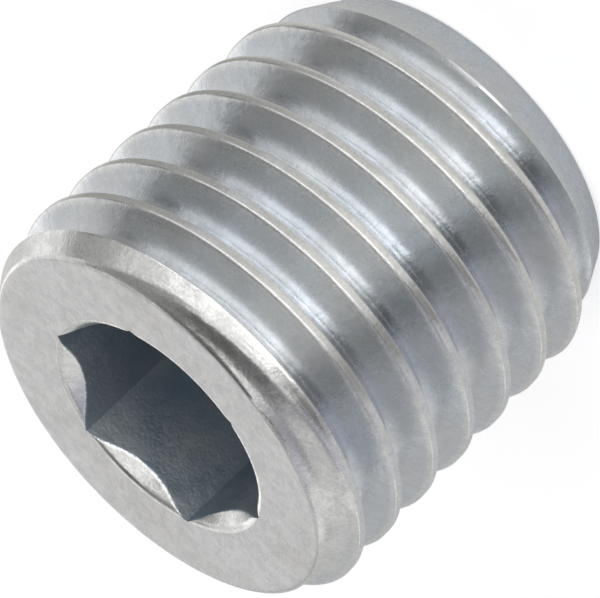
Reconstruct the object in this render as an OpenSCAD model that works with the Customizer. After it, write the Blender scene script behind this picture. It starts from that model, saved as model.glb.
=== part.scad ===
// Taper pipe plug with a hexagon socket: one solid piece of plated steel.
// The small end rests on z = 0, the axis is Z, and the socket opens upward.
// Lengths are in millimetres and angles in degrees.

/* [Body] */
// Length of the plug along its axis
plug_len = 8; // [7:0.5:10]
// Diameter over the thread crests at the gauge plane
gauge_d = 8; // [7.6:0.1:9]
// Height of the gauge plane above the small end
gauge_h = 5; // [2:0.5:6]
// The diameter grows by 1 in this many along the axis
taper_ratio = 16; // [12:1:24]
// Chamfer round the wide end, measured along the radius
wide_chamfer = 0.41; // [0.3:0.01:0.6]
// Angle between the wide end's chamfer and the axis
wide_chamfer_angle = 35; // [30:5:45]
// Chamfer round the small end, measured along the radius
small_chamfer = 0.64; // [0.4:0.02:0.8]
// Angle between the small end's chamfer and the axis
small_chamfer_angle = 27; // [20:1:45]

/* [Thread] */
// Distance from one crest to the next
pitch = 1; // [0.75:0.05:1.25]
// Angle between the two flanks of a groove
flank_angle = 60; // [50:1:60]
// Depth of the groove as a share of the pitch
depth_share = 0.61; // [0.5:0.01:0.64]
// Width of the flat crest as a share of the pitch
crest_share = 0.125; // [0.08:0.005:0.15]
// How far the round root dips below the ends of the flanks, as a share of the pitch
root_dip_share = 0.03; // [0.01:0.005:0.05]
// Where the crest leaves the small end, as a turn from the X axis
start_angle = 88; // [0:2:358]
// Flat steps in one turn of the thread
turn_steps = 60; // [36:4:72]

/* [Socket] */
// Width of the hexagon across its flats
hex_af = 4.1; // [3.5:0.05:4.4]
// Depth of the hexagon's flats below the wide end
hex_depth = 4; // [3:0.25:4.5]
// Turn of a hexagon corner from the X axis
hex_turn = 14; // [0:1:59]
// How far the countersink reaches past the middle of each flat at the mouth
countersink_w = 0.22; // [0.1:0.02:0.3]
// Angle between opposite sides of the countersink
countersink_angle = 75; // [60:5:120]
// Narrow shelf left at the foot of each flat, round the conical bottom
floor_shelf = 0.1; // [0.05:0.05:0.3]
// Angle between opposite sides of the conical bottom
floor_angle = 120; // [90:5:150]

/* [Hidden] */
$fn = 96;
plated_steel = [0.71, 0.73, 0.76];

// A cutting tool runs this far past the face that it cuts
overcut = 0.5;

// One groove and one crest, as [height above the crest's middle, radius from the crest cone]
crest_w = pitch * crest_share;
groove_depth = pitch * depth_share;
root_dip = pitch * root_dip_share;
flank_run = groove_depth * tan(flank_angle / 2);
thread_profile = [
    [-crest_w / 2, 0],
    [crest_w / 2, 0],
    [crest_w / 2 + flank_run, -groove_depth],
    [pitch / 2, -groove_depth - root_dip],
    [pitch - crest_w / 2 - flank_run, -groove_depth]
];
rows_per_turn = len(thread_profile);

// Whole turns that cover the plug, with spare ones past each end to be cut off
spare_turns = 2;
turns = ceil(plug_len / pitch) + 2 * spare_turns;
first_crest_z = -pitch * (start_angle / 360 + spare_turns);
last_row = turns * rows_per_turn - 1;
last_z = first_crest_z + turns * pitch;

hex_corner_r = hex_af / 2 / cos(30);
mouth_r = hex_af / 2 + countersink_w;
countersink_depth = mouth_r / tan(countersink_angle / 2);
floor_r = hex_af / 2 - floor_shelf;
floor_depth = floor_r / tan(floor_angle / 2);

// Radius of the cone that the thread crests lie on
function crest_r(z) = gauge_d / 2 + (z - gauge_h) / (2 * taper_ratio);

// A point of the thread: row counts up the profile, step counts round the axis
function thread_point(row, step) =
    let (
        shape = thread_profile[row % rows_per_turn],
        turn = floor(row / rows_per_turn) + step / turn_steps,
        z = first_crest_z + pitch * turn + shape[0],
        r = crest_r(z) + shape[1],
        angle = 360 * step / turn_steps
    )
    [r * cos(angle), r * sin(angle), z];

// Index of that point. The last step of a row meets the first step one turn higher
function point_index(row, step) =
    step < turn_steps ? row * turn_steps + step : (row + rows_per_turn) * turn_steps;

// Tapered solid with a right-hand thread, longer than the plug at both ends
module threaded_blank() {
    // The topmost turn of rows has only its first points, where the seam ends
    skin = [for (row = [0 : last_row + rows_per_turn], step = [0 : turn_steps - 1])
        thread_point(row, step)];
    under = len(skin);
    over = under + 1;
    walls = [for (row = [0 : last_row - 1], step = [0 : turn_steps - 1], half = [0, 1])
        half == 0
            ? [point_index(row, step), point_index(row + 1, step), point_index(row + 1, step + 1)]
            : [point_index(row, step), point_index(row + 1, step + 1), point_index(row, step + 1)]];
    foot = [for (step = [0 : turn_steps - 1])
        [under, point_index(0, step), point_index(0, step + 1)]];
    foot_seam = [for (row = [0 : rows_per_turn - 1])
        [under, point_index(row + 1, 0), point_index(row, 0)]];
    head = [for (step = [0 : turn_steps - 1])
        [over, point_index(last_row, step + 1), point_index(last_row, step)]];
    head_seam = [for (row = [last_row : last_row + rows_per_turn - 1])
        [over, point_index(row, 0), point_index(row + 1, 0)]];
    polyhedron(
        points = concat(skin, [[0, 0, first_crest_z], [0, 0, last_z + pitch]]),
        faces = concat(walls, foot, foot_seam, head, head_seam));
}

// Everything between the two flat ends and inside both chamfers
module end_limits() {
    small_r = crest_r(0) - small_chamfer;
    wide_r = crest_r(plug_len) - wide_chamfer;
    // Each chamfer runs on past the crests, so that it cuts them off cleanly
    small_run = small_chamfer + overcut;
    wide_run = wide_chamfer + overcut;
    rotate_extrude()
        polygon([
            [0, 0],
            [small_r, 0],
            [small_r + small_run, small_run / tan(small_chamfer_angle)],
            [wide_r + wide_run, plug_len - wide_run / tan(wide_chamfer_angle)],
            [wide_r, plug_len],
            [0, plug_len]
        ]);
}

// Hexagon socket: six flats, a countersunk mouth and a conical bottom
module hex_socket() {
    translate([0, 0, plug_len - hex_depth])
        rotate([0, 0, hex_turn])
            cylinder(r = hex_corner_r, h = hex_depth + overcut, $fn = 6);
    translate([0, 0, plug_len - countersink_depth])
        cylinder(r1 = 0, r2 = mouth_r, h = countersink_depth);
    translate([0, 0, plug_len - hex_depth - floor_depth])
        cylinder(r1 = 0, r2 = floor_r, h = floor_depth);
}

module plug() {
    color(plated_steel)
        difference() {
            intersection() {
                threaded_blank();
                end_limits();
            }
            hex_socket();
        }
}

plug();
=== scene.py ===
# %% [markdown]
# # A taper pipe plug
#
# The object is a small steel plug that closes a threaded port in a pipe or a valve body.
# It is one solid piece: a slightly conical bar with a right-hand thread along its whole
# length and a hexagon socket in the wide end, which a key turns. The steel wears a thin
# coat of bright zinc. The packed solid gives the size and the place, and this script
# gives the same form a finer skin, its finish, its light and its camera.

# %% Load the frame
import math

import bmesh
import bpy
import numpy as np
from mathutils import Matrix, Vector


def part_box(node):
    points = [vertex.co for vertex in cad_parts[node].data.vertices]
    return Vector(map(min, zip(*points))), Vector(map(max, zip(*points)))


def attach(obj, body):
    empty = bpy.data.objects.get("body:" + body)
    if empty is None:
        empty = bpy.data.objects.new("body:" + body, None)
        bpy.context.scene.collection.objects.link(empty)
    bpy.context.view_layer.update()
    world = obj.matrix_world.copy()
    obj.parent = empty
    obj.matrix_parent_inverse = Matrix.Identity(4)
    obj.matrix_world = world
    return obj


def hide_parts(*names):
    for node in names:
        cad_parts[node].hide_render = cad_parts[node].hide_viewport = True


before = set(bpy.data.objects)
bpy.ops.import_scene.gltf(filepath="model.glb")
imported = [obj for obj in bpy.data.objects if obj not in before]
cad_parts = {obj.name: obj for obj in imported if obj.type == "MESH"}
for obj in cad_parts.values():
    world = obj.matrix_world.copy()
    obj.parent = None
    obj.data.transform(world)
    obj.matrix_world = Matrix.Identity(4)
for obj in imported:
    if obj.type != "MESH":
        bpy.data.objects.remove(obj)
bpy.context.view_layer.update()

# %% Measure the packed solid
MM = 0.001
DIGITS = 3
low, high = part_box("plug")
PLUG_LEN = round((high.z - low.z) / MM, DIGITS)
print("length in mm", PLUG_LEN)

# %% [markdown]
# ## The sizes of the thread and the socket
#
# A thread is drawn from a few numbers. The pitch is the climb in one turn. The flanks
# stand 60 degrees apart, the crest is a narrow flat and the root is rounded by the die
# that forms it. The crests lie on a cone that widens by 1 in 16, which is what makes the
# plug bind and seal as it is driven home. The diameter is given at one height, the gauge
# plane, because on a cone it differs everywhere. A lathe then takes a cone off each end,
# so that the thread starts cleanly. The hexagon is sized across its flats, as its key is.
# A countersink widens its mouth, and at its foot a narrow shelf leads to the cone of the
# drill. All values here are millimetres and degrees.

# %% Thread sizes
PITCH = 1.0
GAUGE_D = 8.0
GAUGE_H = 5.0
TAPER_RATIO = 16
FLANK_ANGLE = 60
CREST_W = 0.16 * PITCH
GROOVE_DEPTH = 0.64 * PITCH
START_ANGLE = 88
print("turns of thread", PLUG_LEN / PITCH)

# %% Chamfer sizes
WIDE_CHAMFER = 0.41
WIDE_CHAMFER_ANGLE = 35
SMALL_CHAMFER = 0.64
SMALL_CHAMFER_ANGLE = 27
WIDE_SLOPE = math.tan(math.radians(WIDE_CHAMFER_ANGLE))
SMALL_SLOPE = math.tan(math.radians(SMALL_CHAMFER_ANGLE))
chamfer_heights = (WIDE_CHAMFER / WIDE_SLOPE, SMALL_CHAMFER / SMALL_SLOPE)
print("chamfer heights", [round(height, DIGITS) for height in chamfer_heights])

# %% Socket sizes
HEX_AF = 4.1
HEX_DEPTH = 4.0
HEX_TURN = 14
COUNTERSINK_W = 0.22
COUNTERSINK_ANGLE = 75
MOUTH_R = HEX_AF / 2 + COUNTERSINK_W
SHELF = 0.1
CONE_R = HEX_AF / 2 - SHELF
CONE_ANGLE = 120
print("hexagon across flats", HEX_AF, "and round mouth", 2 * MOUTH_R)

# %% [markdown]
# ## Soft edges without a bevel
#
# No real edge is sharp: rolling, tumbling and plating round it by a few hundredths of a
# millimetre. A bevel modifier could do that, but it stumbles where a spiral ridge runs out
# through a cone. Here every surface is a formula, so where two of them meet, the smaller
# one is taken with a short smooth blend, and the blend is the rounded edge.

# %% Blends


def smooth_min(a, b, width):
    """The smaller of a and b, blended over about width where they are close."""
    overlap = np.maximum(width - np.abs(a - b), 0) / width
    return np.minimum(a, b) - overlap * overlap * width / 4


def smooth_max(a, b, width):
    """The larger of a and b, blended in the same way."""
    return -smooth_min(-a, -b, width)


print("1 and 1.02 blended", smooth_min(1.0, 1.02, 0.1))

# %% Rounded rims


def edge_drop(depth, size):
    """How far an edge's round falls back, at a depth below the flat end."""
    inside = np.clip(size - depth, 0, size)
    return size - np.sqrt(size ** 2 - inside ** 2)


def edge_depths(size, count=6):
    """Depths of the rows that draw an edge's round, from the flat end on."""
    quarter = np.linspace(0, np.pi / 2, count)
    return size * (1 - np.cos(quarter))


print("rows of a 0.1 round", edge_depths(0.1).round(DIGITS))

# %% [markdown]
# ## The skin of the thread as a height map
#
# The outside could be swept along a helix, cut by booleans, or computed. A sweep overlaps
# itself and needs trimming, and a boolean leaves long thin triangles that shade badly.
# Here the radius is one formula of angle and height: the thread's profile, cut back
# wherever a chamfer cone lies lower. The groove then fades out through both chamfers by
# itself, as it does when a die runs off the end of a bar.

# %% Thread profile
CREST_ROUND = 0.05
ROOT_ROUND = 0.35


def half_tan(angle):
    """Tangent of half an angle that is given in degrees."""
    return math.tan(math.radians(angle / 2))


def crest_radius(z):
    """Radius of the cone that the crests lie on."""
    return GAUGE_D / 2 + (z - GAUGE_H) / (2 * TAPER_RATIO)


def groove_drop(turns):
    """Depth below the crest cone, where turns counts pitches from a crest's middle."""
    from_crest = np.abs(turns - np.round(turns)) * PITCH
    flank = (from_crest - CREST_W / 2) / half_tan(FLANK_ANGLE)
    return smooth_min(smooth_max(flank, 0, CREST_ROUND), GROOVE_DEPTH, ROOT_ROUND)


print("depth at a crest, a flank and a root", groove_drop(np.array([0, 0.25, 0.5])).round(DIGITS))

# %% Radius of the outside
CHAMFER_ROUND = 0.04
RIM_ROUND = 0.07


def outside_radius(angle, z):
    """Radius of the plug's outside at an angle in degrees and a height."""
    turns = (z / PITCH) - (angle - START_ANGLE) / 360
    radius = crest_radius(z) - groove_drop(turns)
    wide_cone = crest_radius(PLUG_LEN) - WIDE_CHAMFER + (PLUG_LEN - z) * WIDE_SLOPE
    small_cone = crest_radius(0) - SMALL_CHAMFER + z * SMALL_SLOPE
    radius = smooth_min(radius, wide_cone, CHAMFER_ROUND)
    radius = smooth_min(radius, small_cone, CHAMFER_ROUND)
    return radius - edge_drop(PLUG_LEN - z, RIM_ROUND) - edge_drop(z, RIM_ROUND)


check_z = np.array([0.0, PLUG_LEN / 2, PLUG_LEN])
print("outside radii at 0 degrees", outside_radius(0.0, check_z).round(DIGITS))

# %% [markdown]
# ## Rows that follow the helix
#
# A mesh shows a ridge sharply only when its rows run along it. So the rows climb with the
# thread: each row keeps its place on the profile and rises by one pitch in a full turn,
# where it meets the row one turn further up. Rows are packed closely at the crest's edges
# and further apart in the rounded groove. Rows that would pass a rim are pressed onto it,
# and the points that then coincide are merged.

# %% Rows of one turn
STEPS = 360
ANGLES = np.arange(STEPS) * 360 / STEPS
CREST_EDGE_ROWS = np.array([-0.02, -0.01, 0.005, 0.02, 0.035])
FIRST_GROOVE_ROW = 0.08
GROOVE_ROWS = 8


def profile_rows():
    """One pitch of rows, from a root's middle up to just before the next one."""
    edge = CREST_W / 2
    groove = np.linspace(edge + FIRST_GROOVE_ROW, PITCH / 2, GROOVE_ROWS)
    half = np.concatenate([[0], edge + CREST_EDGE_ROWS, groove]) / PITCH
    return np.concatenate([-half[::-1], half[1:-1]])


print("rows in one turn", len(profile_rows()))

# %% Rows of the whole thread
SPARE_TURNS = 3


def helical_heights(rim):
    """Height of every point of the outside, row by row, held between the two rims."""
    one_turn = profile_rows()
    turns = math.ceil(PLUG_LEN / PITCH) + SPARE_TURNS
    rows = np.concatenate([one_turn + turn - 1 for turn in range(turns)])
    z = PITCH * (rows[:, None] + (ANGLES[None, :] - START_ANGLE) / 360)
    return np.clip(z, rim, PLUG_LEN - rim)


skin_z = helical_heights(RIM_ROUND)
print("rows on the outside", len(skin_z))

# %% [markdown]
# ## Ends and socket as rings
#
# Everything that isn't thread is a stack of rings on the same angles, so the whole plug
# can be one closed grid: the small end from its middle outward, the thread, the flat of
# the wide end inward, then down the socket to the tip of the drilled cone. The socket's
# wall is the hexagon or the countersink cone, whichever lies further out, so the curved
# scallops that a countersink leaves on the flats appear without any cutting.

# %% Wall of the socket
SCALLOP_ROUND = 0.02
MOUTH_ROUND = 0.07
HEX_STEP = 60


def hexagon_radius(angle):
    """Distance from the axis to the hexagon's wall."""
    from_flat = (angle - HEX_TURN) % HEX_STEP - HEX_STEP / 2
    return (HEX_AF / 2) / np.cos(np.radians(from_flat))


def socket_radius(angle, depth):
    """Radius of the socket's wall at a depth below the wide end."""
    cone = MOUTH_R - depth * half_tan(COUNTERSINK_ANGLE) + edge_drop(depth, MOUTH_ROUND)
    return smooth_max(hexagon_radius(angle), cone, SCALLOP_ROUND)


print("socket radius at the mouth and below", socket_radius(0.0, np.array([0, 1])).round(DIGITS))

# %% Rings of the two ends
SMALL_END_SHARES = (0, 0.3, 0.6, 0.85, 0.96)
WIDE_END_SHARES = (0.04, 0.2, 0.5, 0.8, 0.96)


def ring(radius, z):
    """One ring of points: radius is a number or one value for each angle."""
    radius = np.broadcast_to(radius, (STEPS,))
    turn = np.radians(ANGLES)
    return np.stack([radius * np.cos(turn), radius * np.sin(turn), np.full(STEPS, z)], axis=1)


def small_end_rings():
    """The flat that the plug stands on, from its middle to its rim, and the rim's round."""
    rim = outside_radius(ANGLES, 0.0)
    rings = [ring(rim * share, 0.0) for share in SMALL_END_SHARES]
    return rings + [ring(outside_radius(ANGLES, z), z) for z in edge_depths(RIM_ROUND)]


def wide_end_rings():
    """The round of the wide rim, then the flat from the rim to the mouth."""
    heights = PLUG_LEN - edge_depths(RIM_ROUND)[::-1]
    rings = [ring(outside_radius(ANGLES, z), z) for z in heights]
    rim = outside_radius(ANGLES, PLUG_LEN)
    mouth = socket_radius(ANGLES, 0.0)
    return rings + [ring(rim + (mouth - rim) * share, PLUG_LEN) for share in WIDE_END_SHARES]


print("rings on the ends", len(small_end_rings()), "and", len(wide_end_rings()))

# %% Rings of the socket
COUNTERSINK_ROWS = 12
PAST_COUNTERSINK = 1.15
WALL_DEPTHS = [0.6, 1.2, 2.2, 3.2, HEX_DEPTH]
TIP_SHARES = (1, 0.66, 0.33, 0)


def socket_rings():
    """Down the countersink and the flats, across the shelf and down the cone."""
    foot = PAST_COUNTERSINK * (MOUTH_R - HEX_AF / 2) / half_tan(COUNTERSINK_ANGLE)
    countersink = np.linspace(MOUTH_ROUND, foot, COUNTERSINK_ROWS)[1:]
    depths = list(edge_depths(MOUTH_ROUND)) + list(countersink) + WALL_DEPTHS
    rings = [ring(socket_radius(ANGLES, depth), PLUG_LEN - depth) for depth in depths]
    tip = CONE_R / half_tan(CONE_ANGLE)
    for share in TIP_SHARES:
        rings.append(ring(CONE_R * share, PLUG_LEN - HEX_DEPTH - tip * (1 - share)))
    return rings


print("rings in the socket", len(socket_rings()))

# %% [markdown]
# ## One closed mesh
#
# Quads join each row to the next. The only trick is the seam: on the thread the last
# angle of a row meets the first angle of the row one turn higher, and on a ring it meets
# its own first angle. After merging, the mesh has to be closed, because a solid object
# has no loose edge anywhere.

# %% Points and quads


def grid_faces(first, rows, seam):
    """Quads over a grid of rows whose last angle meets the first one, seam rows higher."""
    faces = []
    for row in range(rows - 1 - seam):
        for step in range(STEPS):
            over = step == STEPS - 1
            near = first + (row + (seam if over else 0)) * STEPS + (step + 1) % STEPS
            here = first + row * STEPS + step
            faces.append((here, near, near + STEPS, here + STEPS))
    return faces


def skin_points():
    """Points of the thread as one array of x, y, z."""
    radius = outside_radius(ANGLES[None, :], skin_z)
    turn = np.radians(ANGLES)[None, :]
    return np.stack([radius * np.cos(turn), radius * np.sin(turn), skin_z], axis=2).reshape(-1, 3)


print("points on the thread", len(skin_points()))

# %% The plug's mesh


def plug_mesh():
    """The plug as a Blender mesh, before its coinciding points are merged."""
    below, above = small_end_rings(), wide_end_rings() + socket_rings()
    parts = [np.concatenate(below), skin_points(), np.concatenate(above)]
    starts = np.cumsum([0] + [len(part) for part in parts])
    faces = grid_faces(starts[0], len(below), 0)
    faces += grid_faces(starts[1], len(skin_z), len(profile_rows()))
    faces += grid_faces(starts[2], len(above), 0)
    mesh = bpy.data.meshes.new("plug_skin")
    mesh.from_pydata((np.concatenate(parts) * MM).tolist(), [], faces)
    return mesh


skin = plug_mesh()
print("quads before merging", len(skin.polygons))

# %% [markdown]
# ## Which tool left each face
#
# The thread was rolled or cut by a die and is satin, and the turned countersink shines
# like it. The two flats were faced on a lathe and are matte. The hexagon was punched and
# is dull. Each face of the mesh is told its finish from where it lies and which way it
# looks, so that the borders between finishes fall on the edges between tools.

# %% Finish of a face
THREAD, FLAT, SOCKET = range(3)
END_TOLERANCE = 1e-3
FLAT_RIM = RIM_ROUND / 5
SOCKET_MARGIN = 0.35
SOCKET_REACH = MOUTH_R + SOCKET_MARGIN
COUNTERSINK_TILT = 0.3


def face_finish(centre, normal):
    """The finish of a face, from its middle in millimetres and the way it looks."""
    on_end = min(centre.z, PLUG_LEN - centre.z)
    if math.hypot(centre.x, centre.y) < SOCKET_REACH and on_end > END_TOLERANCE:
        countersink = normal.z > COUNTERSINK_TILT and centre.z > PLUG_LEN - HEX_DEPTH / 2
        return THREAD if countersink else SOCKET
    return FLAT if on_end < FLAT_RIM else THREAD


print("finish number of the wide end", face_finish(Vector((3, 0, PLUG_LEN)), Vector((0, 0, 1))))

# %% Merge, shade and place the plug
MERGE = 1e-4 * MM
SHARP_ANGLE = math.radians(32)


def show(piece):
    """Put an object into the scene."""
    bpy.context.scene.collection.objects.link(piece)
    return piece


def add_plug(mesh):
    """The plug as an object of one merged, smooth-shaded, closed mesh."""
    work = bmesh.new()
    work.from_mesh(mesh)
    bmesh.ops.remove_doubles(work, verts=work.verts, dist=MERGE)
    bmesh.ops.recalc_face_normals(work, faces=work.faces)
    for face in work.faces:
        face.smooth = True
        face.material_index = face_finish(face.calc_center_median() / MM, face.normal)
    print("open edges", sum(1 for edge in work.edges if not edge.is_manifold))
    work.to_mesh(mesh)
    work.free()
    mesh.set_sharp_from_angle(angle=SHARP_ANGLE)
    print("triangles", sum(len(face.vertices) - 2 for face in mesh.polygons))
    return show(bpy.data.objects.new("plug_skin", mesh))


plug = add_plug(skin)

# %% [markdown]
# ## Writing a finish as sums
#
# A finish is a tree of nodes, and most of its nodes only add, subtract or multiply. The
# small class below wraps a node's output, so that a mask can be written as ordinary
# arithmetic and each sign adds one Math node. Every other kind of node comes from one
# method, which takes the node's type, its settings and what goes into its sockets.

# %% A wrapped socket
# A Mix node has sockets of one name for numbers, vectors and colours: these are the colours.
COLOUR_A, COLOUR_B, COLOUR_OUT = 6, 7, 2


class Wire:
    """An output socket that plus, minus and times work on."""

    def __init__(self, tree, socket=None):
        self.tree = tree
        self.socket = socket

    def node(self, kind, settings=None, inputs=None, output=0):
        """Add a node: its settings first, then each socket's value or link."""
        made = self.tree.nodes.new(kind)
        for key, value in (settings or {}).items():
            setattr(made, key, value)
        for key, value in (inputs or {}).items():
            if isinstance(value, Wire):
                self.tree.links.new(value.socket, made.inputs[key])
            else:
                made.inputs[key].default_value = value
        return Wire(self.tree, made.outputs[output]) if made.outputs else made

    def math(self, operation, first, second):
        """One Math node on two values or wires."""
        return self.node("ShaderNodeMath", {"operation": operation}, {0: first, 1: second})

    def __add__(self, other):
        return self.math("ADD", self, other)

    def __radd__(self, other):
        return self.math("ADD", other, self)

    def __sub__(self, other):
        return self.math("SUBTRACT", self, other)

    def __rsub__(self, other):
        return self.math("SUBTRACT", other, self)

    def __mul__(self, other):
        return self.math("MULTIPLY", self, other)

    def __rmul__(self, other):
        return self.math("MULTIPLY", other, self)

    def clamp(self):
        """The value held between 0 and 1."""
        return self.node("ShaderNodeClamp", None, {"Value": self, "Min": 0.0, "Max": 1.0})

    def ramp(self, low, high):
        """0 below low, 1 above high, and a smooth climb between."""
        return self.node("ShaderNodeMapRange", {"interpolation_type": "SMOOTHSTEP"}, {
            "Value": self, "From Min": low, "From Max": high, "To Min": 0.0, "To Max": 1.0})

    def blend(self, first, second):
        """Colours or wires mixed, with this value as the share of the second."""
        return self.node("ShaderNodeMix", {"data_type": "RGBA"},
                         {0: self, COLOUR_A: first, COLOUR_B: second}, COLOUR_OUT)


reflected_signs = [sign for sign in vars(Wire) if sign.startswith("__r")]
print("signs that also work with a number in front", reflected_signs)

# %% Open and close a finish


def open_finish(name):
    """A new material with an empty tree, and a wire to build it with."""
    material = bpy.data.materials.new(name)
    material.use_nodes = True
    material.node_tree.nodes.clear()
    return material, Wire(material.node_tree)


def close_finish(material, build, shader):
    """Put the shader on the material's surface."""
    build.node("ShaderNodeOutputMaterial", None, {"Surface": shader})
    print("finish", material.name, "nodes", len(material.node_tree.nodes))


print("materials before the plug's own", len(bpy.data.materials))

# %% [markdown]
# ## What a plated surface is made of
#
# Close up, bright zinc is not one grey. There are wide warm clouds where the bath left a
# thicker coat, a finer mottle, the grain of the steel and a few pits. Each is one noise
# at its own size, and all read the object's own millimetres, so a pit has the same size
# on every surface. Image textures would need unwrapping and would blur close up.

# %% Noise at a size in millimetres
NOISE_ROUGHNESS = 0.55


def noise(build, place, size, detail):
    """Plain noise whose features are about one size, in millimetres."""
    values = {"Vector": place, "Scale": 1 / (size * MM), "Detail": detail, "Roughness": NOISE_ROUGHNESS}
    return build.node("ShaderNodeTexNoise", {"noise_dimensions": "3D"}, values, "Fac")


print("each octave of a noise has", NOISE_ROUGHNESS, "of the strength of the one before")

# %% Patterns
CLOUD_SIZE = 1.6
MOTTLE_SIZE = 0.22
GRAIN_SIZE = 0.055
PIT_SIZE = 0.12
RICH, MIDDLE, SMOOTH = 3.0, 2.0, 1.0
CLOUD_EDGES = (0.35, 0.7)
MOTTLE_EDGES = (0.3, 0.7)
PIT_EDGES = (0.68, 0.80)


def patterns(build, place):
    """Clouds, mottle, grain and pits, each from 0 to 1."""
    return {
        "clouds": noise(build, place, CLOUD_SIZE, RICH).ramp(*CLOUD_EDGES),
        "mottle": noise(build, place, MOTTLE_SIZE, MIDDLE).ramp(*MOTTLE_EDGES),
        "grain": noise(build, place, GRAIN_SIZE, RICH),
        "pits": noise(build, place, PIT_SIZE, SMOOTH).ramp(*PIT_EDGES),
    }


print("clouds, mottle, grain and pits in mm", CLOUD_SIZE, MOTTLE_SIZE, GRAIN_SIZE, PIT_SIZE)

# %% Streaks along the thread
STREAK_SIZE = 1 / 26
STREAK_STRETCH = 0.18


def streak_marks(build, place):
    """Short marks that run round the plug, as a die leaves them."""
    stretch = {"Vector": place, "Scale": (STREAK_STRETCH, STREAK_STRETCH, 1.0)}
    return noise(build, build.node("ShaderNodeMapping", None, stretch), STREAK_SIZE, MIDDLE)


streak_length = round(STREAK_SIZE / STREAK_STRETCH, DIGITS)
print("streaks in mm", round(STREAK_SIZE, DIGITS), "wide and", streak_length, "long")

# %% [markdown]
# ## Wear and a painted highlight on the crests and the rim
#
# Crests and the wide rim touch everything the plug is packed with, so they are polished
# brighter than the flanks. The same mask lightens and warms them further as a painted
# highlight, along every crest and round the wide chamfer. The crest mask measures how deep
# a point lies below the crest cone, which a distance from the axis and a height are enough
# for. It follows the helix without an image texture, and it stays right if the thread's
# sizes change.

# %% Worn places and a painted highlight
WORN_SHEEN_DEPTH = 0.13
WORN_SHEEN_EDGES = (WORN_SHEEN_DEPTH / 3, WORN_SHEEN_DEPTH)
WORN_SHEEN_RIM = 0.7
WORN_SHEEN_RIM_EDGES = (PLUG_LEN - WORN_SHEEN_RIM, PLUG_LEN - WORN_SHEEN_RIM / 2)
CREST_WEAR_SHEEN = 0.62


def wear_and_sheen_share(build, place):
    """How far the coat is lightened, as wear and as a painted highlight: along the crests and round the
    wide end's chamfer.
    """
    flat = build.node("ShaderNodeVectorMath", {"operation": "MULTIPLY"}, {0: place, 1: (1, 1, 0)})
    radius = build.node("ShaderNodeVectorMath", {"operation": "LENGTH"}, {0: flat}, "Value")
    height = build.node("ShaderNodeSeparateXYZ", None, {0: place}, "Z")
    cone = height * (0.5 / TAPER_RATIO) + crest_radius(0) * MM
    below = (cone - radius) * (1 / MM)
    crest = 1 - below.ramp(*WORN_SHEEN_EDGES)
    rim = (height * (1 / MM)).ramp(*WORN_SHEEN_RIM_EDGES)
    return (crest * CREST_WEAR_SHEEN + rim).clamp()


print("rubbed to", WORN_SHEEN_DEPTH, "mm below the crests and", WORN_SHEEN_RIM, "mm below the wide end")

# %% [markdown]
# ## Bright zinc on steel
#
# Zinc plating is a metal, so its colour is in its reflections: a slightly blue pale grey.
# The layer is thin and follows the steel below, so three surfaces look different. The
# thread is satin with short streaks along the helix. The faced end is matte and finely
# pitted. The punched socket is rougher, and its colour is darker and bluer: partly as
# plating hardly reaches into a deep blind hole, partly as painted shade of the hole.
# All three come from one function with different values, so they agree, and they go
# onto the plug in the order in which its faces number them.

# %% Colour of the coat
WARM_ZINC = (0.76, 0.735, 0.70, 1.0)
# Crests and rim are lightened towards this colour, as wear and as a painted highlight.
WORN_SHEEN_ZINC = (0.95, 0.945, 0.915, 1.0)
DULL_ZINC = (0.56, 0.57, 0.58, 1.0)
WARM_SHARE = 0.4
MOTTLE_SHARE = 0.24
GRAIN_SHARE = 0.24
GRAIN_EDGES = (0.35, 0.65)


def coat_colour(colour, worn_and_sheen, marks, pits):
    """The coat's colour, warmer in the clouds, lighter along crests and rim as wear and as a painted
    highlight, dull in the grain.
    """
    tint = (marks["clouds"] * WARM_SHARE).blend(colour, WARM_ZINC)
    if worn_and_sheen is not None:
        tint = worn_and_sheen.blend(tint, WORN_SHEEN_ZINC)
    grain = marks["grain"].ramp(*GRAIN_EDGES)
    dull = marks["mottle"] * MOTTLE_SHARE + grain * GRAIN_SHARE + marks["pits"] * pits
    return dull.blend(tint, DULL_ZINC)


print("dull share outside the pits is at most", MOTTLE_SHARE + GRAIN_SHARE)

# %% Grain as a bump
MOTTLE_HEIGHT = 0.8


def grain_bump(build, place, marks, depth, pits, streak):
    """Grain, streaks, mottle and pits as one bump of about depth millimetres."""
    height = marks["grain"] * (1 - streak) + marks["mottle"] * MOTTLE_HEIGHT - marks["pits"] * pits
    if streak:
        height = height + streak_marks(build, place) * streak
    return build.node("ShaderNodeBump", None, {
        "Strength": 1.0, "Distance": depth * MM, "Height": height})


print("mottle height against the grain's", MOTTLE_HEIGHT)

# %% A plated surface
ROUGHNESS_SPREAD = 0.06


def plating(name, colour, roughness, depth, pits, streak=0.0, worn_and_sheen=False):
    """A zinc-plated surface, with clouds, wear and a painted highlight in its colour and grain as its
    bump.
    """
    material, build = open_finish(name)
    place = build.node("ShaderNodeTexCoord", None, None, "Object")
    marks = patterns(build, place)
    rubbed_and_sheen = wear_and_sheen_share(build, place) if worn_and_sheen else None
    spread = (marks["clouds"] + marks["mottle"] - 1) * ROUGHNESS_SPREAD
    shader = build.node("ShaderNodeBsdfPrincipled", None, {
        "Base Color": coat_colour(colour, rubbed_and_sheen, marks, pits),
        "Metallic": 1.0, "Roughness": spread + roughness,
        "Normal": grain_bump(build, place, marks, depth, pits, streak)})
    close_finish(material, build, shader)
    return material


print("roughness varies by", ROUGHNESS_SPREAD, "each way")

# %% The thread's finish
THREAD_ZINC = (0.70, 0.74, 0.78, 1.0)
thread_finish = plating(
    "thread_zinc", THREAD_ZINC, roughness=0.28, depth=0.0024, pits=0.18, streak=0.6, worn_and_sheen=True)

# %% The finish of the flats and of the socket
FLAT_ZINC = (0.75, 0.745, 0.74, 1.0)
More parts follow.
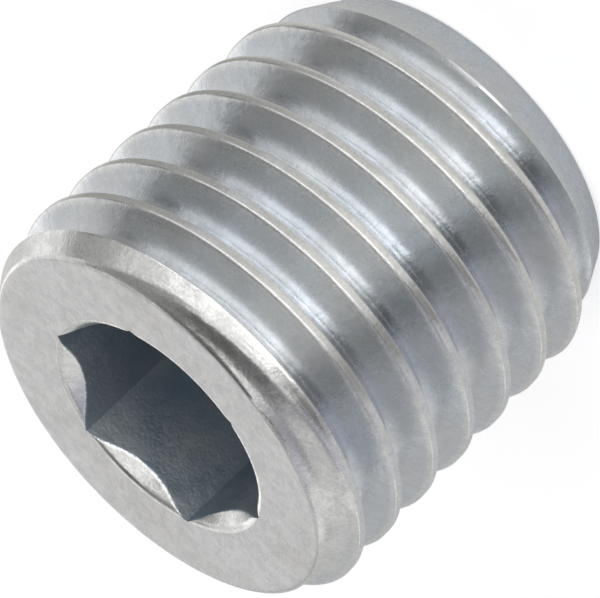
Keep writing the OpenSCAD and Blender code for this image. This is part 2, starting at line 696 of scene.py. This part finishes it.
# Darker and bluer than the thread: partly a thinner coat, partly painted shade of the deep hole.
SOCKET_SHADE_ZINC = (0.42, 0.52, 0.60, 1.0)
flat_finish = plating("flat_zinc", FLAT_ZINC, roughness=0.46, depth=0.005, pits=0.35)
socket_shade_finish = plating("socket_shaded_zinc", SOCKET_SHADE_ZINC, roughness=0.5, depth=0.005, pits=0.3)

# %% Dress the plug
for finish in (thread_finish, flat_finish, socket_shade_finish):
    plug.data.materials.append(finish)
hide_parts("plug")
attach(plug, "root")
print("plug wears", [finish.name for finish in plug.data.materials])

# %% [markdown]
# ## The floor
#
# The plug stands on its small end on a matte white sheet. The sheet gives off light of its
# own only where the camera or a reflection looks at it, so that it reads as white without
# lighting the plug, and the plug's soft shadow stays on it. It lies a hair below the small
# end, because two faces in exactly one plane would flicker.

# %% Finish of the floor
FLOOR_COLOUR = (0.86, 0.86, 0.87, 1.0)
SEEN_GLOW = 0.55
REFLECTED_GLOW = 0.08
BLACK = (0.0, 0.0, 0.0, 1.0)
WHITE = (1.0, 1.0, 1.0, 1.0)
FLOOR_ROUGHNESS = 0.9


def floor_white():
    """Matte white, with a glow that only the camera and reflections see."""
    material, build = open_finish("floor_white")
    seen = build.node("ShaderNodeLightPath", None, None, "Is Camera Ray")
    reflected = build.node("ShaderNodeLightPath", None, None, "Is Glossy Ray")
    glow = (seen * SEEN_GLOW + reflected * REFLECTED_GLOW).blend(BLACK, WHITE)
    shader = build.node("ShaderNodeBsdfPrincipled", None, {
        "Base Color": FLOOR_COLOUR, "Roughness": FLOOR_ROUGHNESS, "Specular IOR Level": 0.0,
        "Emission Color": glow, "Emission Strength": 1.0})
    close_finish(material, build, shader)
    return material


sheet_finish = floor_white()

# %% Lay the floor
FLOOR_SIZE = 1.2
FLOOR_DROP = 0.02


def add_floor():
    """A white sheet just under the plug."""
    half = FLOOR_SIZE / 2
    level = -FLOOR_DROP * MM
    corners = [(-half, -half, level), (half, -half, level), (half, half, level), (-half, half, level)]
    mesh = bpy.data.meshes.new("floor")
    mesh.from_pydata(corners, [], [(0, 1, 2, 3)])
    mesh.materials.append(sheet_finish)
    sheet = show(bpy.data.objects.new("floor", mesh))
    return sheet


floor = add_floor()
print("floor in metres", [round(side, DIGITS) for side in floor.dimensions])

# %% [markdown]
# ## A ring of soft lamps
#
# Bright metal shows its surroundings, so a metal picture is lit by what stands round it.
# One lamp overhead would leave the flanks black. Here soft boxes stand round the plug in
# three rows, all facing it: low ones for the flanks, middle ones for the chamfers and
# high ones for the flat end. They are brightest in front and fade round to the sides. In
# the two lower rows a gap beside the brightest box is left empty, and the thread reflects
# it as the dark accents that make metal look like metal. The boxes past it are cooler.

# %% Aim
AIM = Vector((0.016, -1.441, 5.046)) * MM


def direction(azimuth, elevation):
    """Unit vector from the plug toward an azimuth and an elevation in degrees."""
    turn, lift = math.radians(azimuth), math.radians(elevation)
    return Vector((math.cos(lift) * math.cos(turn), math.cos(lift) * math.sin(turn), math.sin(lift)))


def stand(azimuth, elevation, distance):
    """The place of a lamp or a camera that looks at the aim point."""
    toward = direction(azimuth, elevation)
    turned = toward.to_track_quat("Z", "Y").to_matrix().to_4x4()
    return Matrix.Translation(AIM + toward * distance) @ turned


print("aim in mm", [round(value / MM, DIGITS) for value in AIM])

# %% One soft box
LAMP_DISTANCE = 0.3
PLAIN = (1.0, 1.0, 1.0)
COOL = (0.98, 0.99, 1.15)


def add_lamp(name, start, end, row, brightness, colour=PLAIN):
    """A flat soft box from one angle round the plug to another, in a row of lamps."""
    low, high = row
    azimuth, elevation = (start + end) / 2, (low + high) / 2
    data = bpy.data.lights.new(name, "AREA")
    data.shape = "RECTANGLE"
    data.size = 2 * LAMP_DISTANCE * half_tan((end - start) * math.cos(math.radians(elevation)))
    data.size_y = 2 * LAMP_DISTANCE * half_tan(high - low)
    data.energy = brightness * math.pi * data.size * data.size_y
    data.color = colour
    lamp = show(bpy.data.objects.new(name, data))
    lamp.matrix_world = stand(azimuth, elevation, LAMP_DISTANCE)


def add_row(place, row, lamps, colour=PLAIN):
    """Several soft boxes in one row: for each its two angles and its brightness."""
    for number, (start, end, brightness) in enumerate(lamps, 1):
        add_lamp(f"{place}_{number}", start, end, row, brightness, colour)
    print(place, len(lamps), "boxes")


print("boxes stand", LAMP_DISTANCE, "m away")

# %% The low row
LOW_ROW = (0, 18)
add_row("front_low", LOW_ROW, (
    (-114, -87, 2.60), (-87, -60, 1.75), (-60, -32, 1.65), (-32, -4, 1.10)))
add_row("side_low", LOW_ROW, ((-180, -144, 0.51),), COOL)
add_row("back_low", LOW_ROW, (
    (-220, -180, 0.77), (-260, -220, 0.48), (-296, -260, 1.21), (-332, -296, 0.85)))

# %% The middle row
MIDDLE_ROW = (18, 44)
add_row("front_middle", MIDDLE_ROW, (
    (-107, -87, 1.60), (-87, -60, 1.05), (-60, -32, 1.10), (-32, -4, 0.60)))
add_row("side_middle", MIDDLE_ROW, ((-180, -144, 0.42),), COOL)
add_row("back_middle", MIDDLE_ROW, (
    (-220, -180, 0.60), (-260, -220, 0.48), (-296, -260, 0.75), (-332, -296, 0.66),
    (-368, -332, 0.28)))

# %% The high row
HIGH_ROW = (44, 70)
add_row("front_high", HIGH_ROW, ((-135, -90, 0.76), (-90, -45, 0.80), (-45, 0, 0.19)))
add_row("side_high", HIGH_ROW, ((-190, -135, 0.20),), COOL)
add_row("back_high", HIGH_ROW, ((-250, -190, 0.50), (-305, -250, 0.72), (-360, -305, 0.12)))

# %% [markdown]
# ## Cards on the sheet
#
# A photographer lays white, grey and black cards beside a shiny part to shape what its
# lower flanks reflect. The same is done here with flat pieces of ring, a hair above the
# sheet. Only reflections see them, so they cast no shadow and the camera misses them, and
# the floor stays plain. A faint grey world fills in what no lamp and no card covers.

# %% One card
CARD_COLOUR = (1.0, 0.985, 0.94, 1.0)
CARD_STEPS = 72
CARD_FROM, CARD_TO = 7, 60


def card_mesh(name, azimuth, spread, inner, outer):
    """A flat piece of ring round the plug, from an inner to an outer radius."""
    turns = np.radians(np.linspace(azimuth - spread / 2, azimuth + spread / 2, CARD_STEPS + 1))
    points = [(reach * MM * math.cos(turn), reach * MM * math.sin(turn), 0.0)
              for reach in (inner, outer) for turn in turns]
    over = CARD_STEPS + 1
    mesh = bpy.data.meshes.new(name)
    mesh.from_pydata(points, [], [(k, k + 1, over + k + 1, over + k) for k in range(CARD_STEPS)])
    return mesh


def add_card(name, azimuth, spread, brightness, inner=CARD_FROM, outer=CARD_TO):
    """A card that only reflections see."""
    mesh = card_mesh(name, azimuth, spread, inner, outer)
    material, build = open_finish(name)
    glow = {"Color": CARD_COLOUR, "Strength": brightness}
    close_finish(material, build, build.node("ShaderNodeEmission", None, glow))
    mesh.materials.append(material)
    card = show(bpy.data.objects.new(name, mesh))
    card.visible_camera = card.visible_diffuse = card.visible_shadow = False


print("a card has", CARD_STEPS, "quads and reaches", CARD_TO, "mm from the axis")

# %% Lay the cards
BASE_FROM, BASE_TO = 3.6, 6.86
add_card("white_card", azimuth=-91, spread=38, brightness=0.82)
add_card("pale_card", azimuth=-58.5, spread=27, brightness=0.58)
add_card("black_card", azimuth=-128.5, spread=23, brightness=0.25)
add_card("grey_card", azimuth=7.5, spread=75, brightness=0.37)
add_card("rear_card", azimuth=67.5, spread=45, brightness=0.68)
add_card("base_card", azimuth=90, spread=360, brightness=0.62, inner=BASE_FROM, outer=BASE_TO)

# %% A faint surround
SURROUND = 0.07


def add_surround():
    """An even, faint grey world, so that no reflection finds pure black."""
    world = bpy.data.worlds.new("studio")
    world.use_nodes = True
    world.node_tree.nodes.clear()
    sky = Wire(world.node_tree)
    glow = sky.node("ShaderNodeBackground", None, {"Color": WHITE, "Strength": SURROUND})
    sky.node("ShaderNodeOutputWorld", None, {"Surface": glow})
    bpy.context.scene.world = world


add_surround()
print("surround strength", SURROUND)

# %% [markdown]
# ## The camera
#
# A long lens from some way off keeps the two ends of the plug nearly the same width, as
# in a catalogue picture. The camera looks down on the wide end from the front and is
# rolled, so that the plug's axis runs from the lower left to the upper right.

# %% Set up the camera
CAMERA_AZIMUTH = -86.22
CAMERA_ELEVATION = 25.96
CAMERA_ROLL = -133.41
CAMERA_DISTANCE = 294.8 * MM
LENS = 1027.8
FILM_WIDTH = 36.0


def add_camera():
    """The camera, placed by angles around the aim point."""
    data = bpy.data.cameras.new("camera")
    data.lens = LENS
    data.sensor_width = FILM_WIDTH
    camera = show(bpy.data.objects.new("camera", data))
    roll = Matrix.Rotation(math.radians(CAMERA_ROLL), 4, "Z")
    camera.matrix_world = stand(CAMERA_AZIMUTH, CAMERA_ELEVATION, CAMERA_DISTANCE) @ roll
    bpy.context.scene.camera = camera
    return camera


camera = add_camera()
bpy.context.scene.view_settings.view_transform = "Standard"
print("camera in mm", [round(value / MM, DIGITS) for value in camera.matrix_world.translation])

# %% [markdown]
# ## Closing
#
# The finer skin must fill the same box as the packed solid and not reach past it, because
# both stand for one part.
